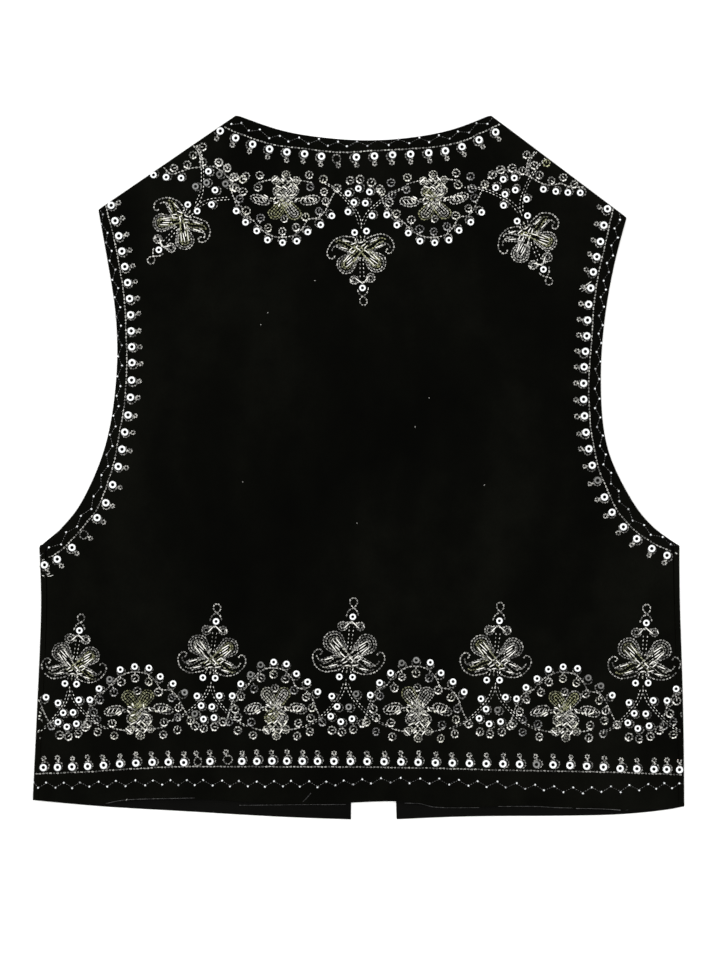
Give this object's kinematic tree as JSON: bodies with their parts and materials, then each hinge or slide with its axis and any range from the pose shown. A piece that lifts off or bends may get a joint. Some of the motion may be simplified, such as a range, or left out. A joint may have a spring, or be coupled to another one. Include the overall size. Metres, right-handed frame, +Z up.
{
  "type": "embroidered folk vest",
  "caption": "Cropped sleeveless black velvet folk vest laid flat, back up, with open armholes and an open front underneath.",
  "frame": {"origin": "centre of the bounding box, on the surface that the vest lies on", "axes": "+Z up out of the surface, through the fronts and then the back; +Y from the hem to the neck; +X to the right seen from above, which is the wearer's right"},
  "size_m": [0.4688, 0.5064, 0.0069],
  "materials": {
    "velvet": "black cotton velvet with a soft uneven nap",
    "inside": "plain matt black inside of the cloth",
    "thread": "silver-white chain stitch, olive gold in places",
    "sequin": "small cupped silver-white sequins",
    "bead": "small bright silver seed beads"
  },
  "bodies": {
    "root": {"back": "velvet", "front_left": "velvet", "front_right": "velvet"}
  },
  "joints": []
}
